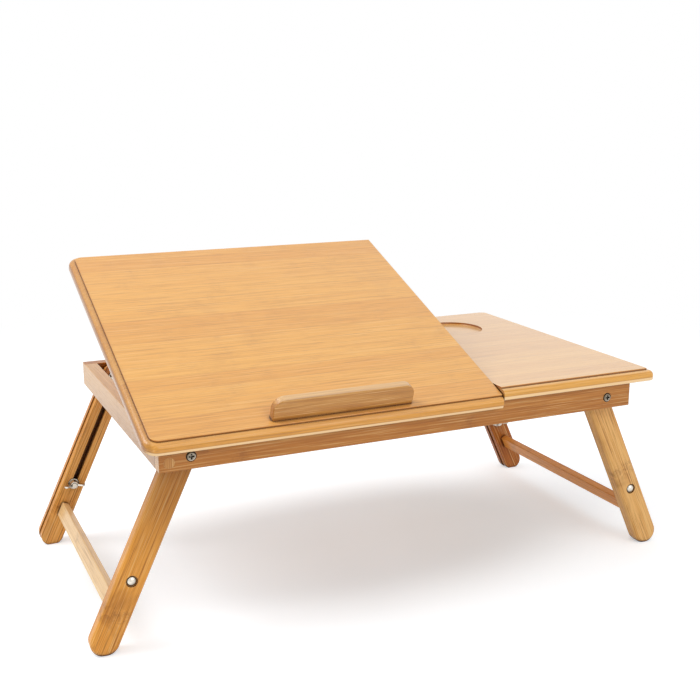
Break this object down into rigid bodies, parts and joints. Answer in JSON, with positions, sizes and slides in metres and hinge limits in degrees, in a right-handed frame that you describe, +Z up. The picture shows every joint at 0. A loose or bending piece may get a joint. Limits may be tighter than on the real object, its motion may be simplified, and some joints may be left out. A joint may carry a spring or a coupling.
{
  "type": "laptop stand",
  "caption": "Bamboo laptop stand with tilting top, front ledge, side drawer, round cup recess and folding, extending legs.",
  "frame": {"origin": "on the floor under the middle of the stand as it stands open, with its top tilted", "axes": "+X along the long side to the drawer end, +Y to the rear edge that tilts up, +Z up"},
  "size_m": [0.6514, 0.3512, 0.3279],
  "materials": {
    "bamboo_top": "satin lacquered strip bamboo, pale",
    "bamboo_rail": "satin lacquered bamboo, caramel",
    "bamboo_leg": "satin lacquered bamboo, caramel, with nodes",
    "bamboo_inner": "plain sanded bamboo",
    "plated_steel": "bright nickel plate",
    "hinge_steel": "zinc plate"
  },
  "bodies": {
    "frame": {"front_rail": "bamboo_rail", "rear_rail": "bamboo_rail", "left_end_rail": "bamboo_rail", "right_front_post": "bamboo_rail", "right_rear_post": "bamboo_rail", "corner_plugs": "bamboo_rail", "fixed_panel": "bamboo_top", "divider": "bamboo_inner", "drawer_runner_front": "bamboo_inner", "drawer_runner_rear": "bamboo_inner", "pivot_screws": "plated_steel", "pivot_spacers": "bamboo_inner", "pivot_washers": "plated_steel", "pivot_nuts": "plated_steel", "hinge_fixed_leaves": "hinge_steel", "hinge_pins": "hinge_steel", "hinge_rail_screws": "hinge_steel", "stay_stud": "plated_steel", "stay_washer": "plated_steel"},
    "tilting_top": {"tilt_panel": "bamboo_top", "laptop_ledge": "bamboo_rail", "ledge_dowels": "bamboo_inner", "hinge_moving_leaves": "hinge_steel", "hinge_panel_screws": "hinge_steel", "stay_bracket": "hinge_steel", "stay_bracket_screws": "hinge_steel", "stay_pin": "hinge_steel"},
    "stay": {"tilt_stay": "hinge_steel"},
    "stay_clamp": {"stay_wing_nut": "plated_steel"},
    "drawer": {"drawer_front": "bamboo_rail", "drawer_back": "bamboo_inner", "drawer_side_front": "bamboo_inner", "drawer_side_rear": "bamboo_inner", "drawer_bottom": "bamboo_inner", "drawer_knob": "bamboo_rail", "drawer_knob_screw": "plated_steel"},
    "left_legs": {"left_front_upper_leg": "bamboo_leg", "left_rear_upper_leg": "bamboo_leg", "left_carriage_bolts": "plated_steel", "left_clamp_washers": "plated_steel"},
    "left_extension": {"left_front_lower_leg": "bamboo_leg", "left_rear_lower_leg": "bamboo_leg", "left_stretcher": "bamboo_leg", "left_stretcher_screws": "plated_steel"},
    "left_front_clamp": {"left_front_wing_nut": "plated_steel"},
    "left_rear_clamp": {"left_rear_wing_nut": "plated_steel"},
    "right_legs": {"right_front_upper_leg": "bamboo_leg", "right_rear_upper_leg": "bamboo_leg", "right_carriage_bolts": "plated_steel", "right_clamp_washers": "plated_steel"},
    "right_extension": {"right_front_lower_leg": "bamboo_leg", "right_rear_lower_leg": "bamboo_leg", "right_stretcher": "bamboo_leg", "right_stretcher_screws": "plated_steel"},
    "right_front_clamp": {"right_front_wing_nut": "plated_steel"},
    "right_rear_clamp": {"right_rear_wing_nut": "plated_steel"}
  },
  "joints": [
    {"name": "tilt", "type": "hinge", "parent": "frame", "child": "tilting_top", "pos_m": [0, -0.15068, 0.2009], "axis": [1, 0, 0], "range_deg": [-20.7, 4.5]},
    {"name": "stay_swing", "type": "hinge", "parent": "tilting_top", "child": "stay", "pos_m": [-0.243, -0.00818, 0.24818], "axis": [1, 0, 0], "range_deg": [-7.2, 1.7]},
    {"name": "stay_nut_turn", "type": "hinge", "parent": "frame", "child": "stay_clamp", "pos_m": [-0.2386, -0.10568, 0.188], "axis": [1, 0, 0], "range_deg": [0, 180]},
    {"name": "drawer_slide", "type": "slide", "parent": "frame", "child": "drawer", "axis": [1, 0, 0], "range_m": [0, 0.11]},
    {"name": "left_fold", "type": "hinge", "parent": "frame", "child": "left_legs", "pos_m": [-0.23, 0.00062, 0.1882], "axis": [0, -1, 0], "range_deg": [0, 114.9]},
    {"name": "left_extend", "type": "slide", "parent": "left_legs", "child": "left_extension", "axis": [0.421, 0, 0.907], "range_m": [-0.105, 0]},
    {"name": "left_front_nut_turn", "type": "hinge", "parent": "left_legs", "child": "left_front_clamp", "pos_m": [-0.28516, -0.12928, 0.06938], "axis": [0, 1, 0], "range_deg": [0, 180]},
    {"name": "left_rear_nut_turn", "type": "hinge", "parent": "left_legs", "child": "left_rear_clamp", "pos_m": [-0.28516, 0.13052, 0.06938], "axis": [0, -1, 0], "range_deg": [0, 180]},
    {"name": "right_fold", "type": "hinge", "parent": "frame", "child": "right_legs", "pos_m": [0.23, 0.00062, 0.1882], "axis": [0, 1, 0], "range_deg": [0, 114.9]},
    {"name": "right_extend", "type": "slide", "parent": "right_legs", "child": "right_extension", "axis": [-0.421, 0, 0.907], "range_m": [-0.105, 0]},
    {"name": "right_front_nut_turn", "type": "hinge", "parent": "right_legs", "child": "right_front_clamp", "pos_m": [0.28516, -0.12928, 0.06938], "axis": [0, 1, 0], "range_deg": [0, 180]},
    {"name": "right_rear_nut_turn", "type": "hinge", "parent": "right_legs", "child": "right_rear_clamp", "pos_m": [0.28516, 0.13052, 0.06938], "axis": [0, -1, 0], "range_deg": [0, 180]}
  ],
  "couplings": [
    {"joint": "stay_swing", "follows": "tilt", "ratio": 0.34}
  ]
}
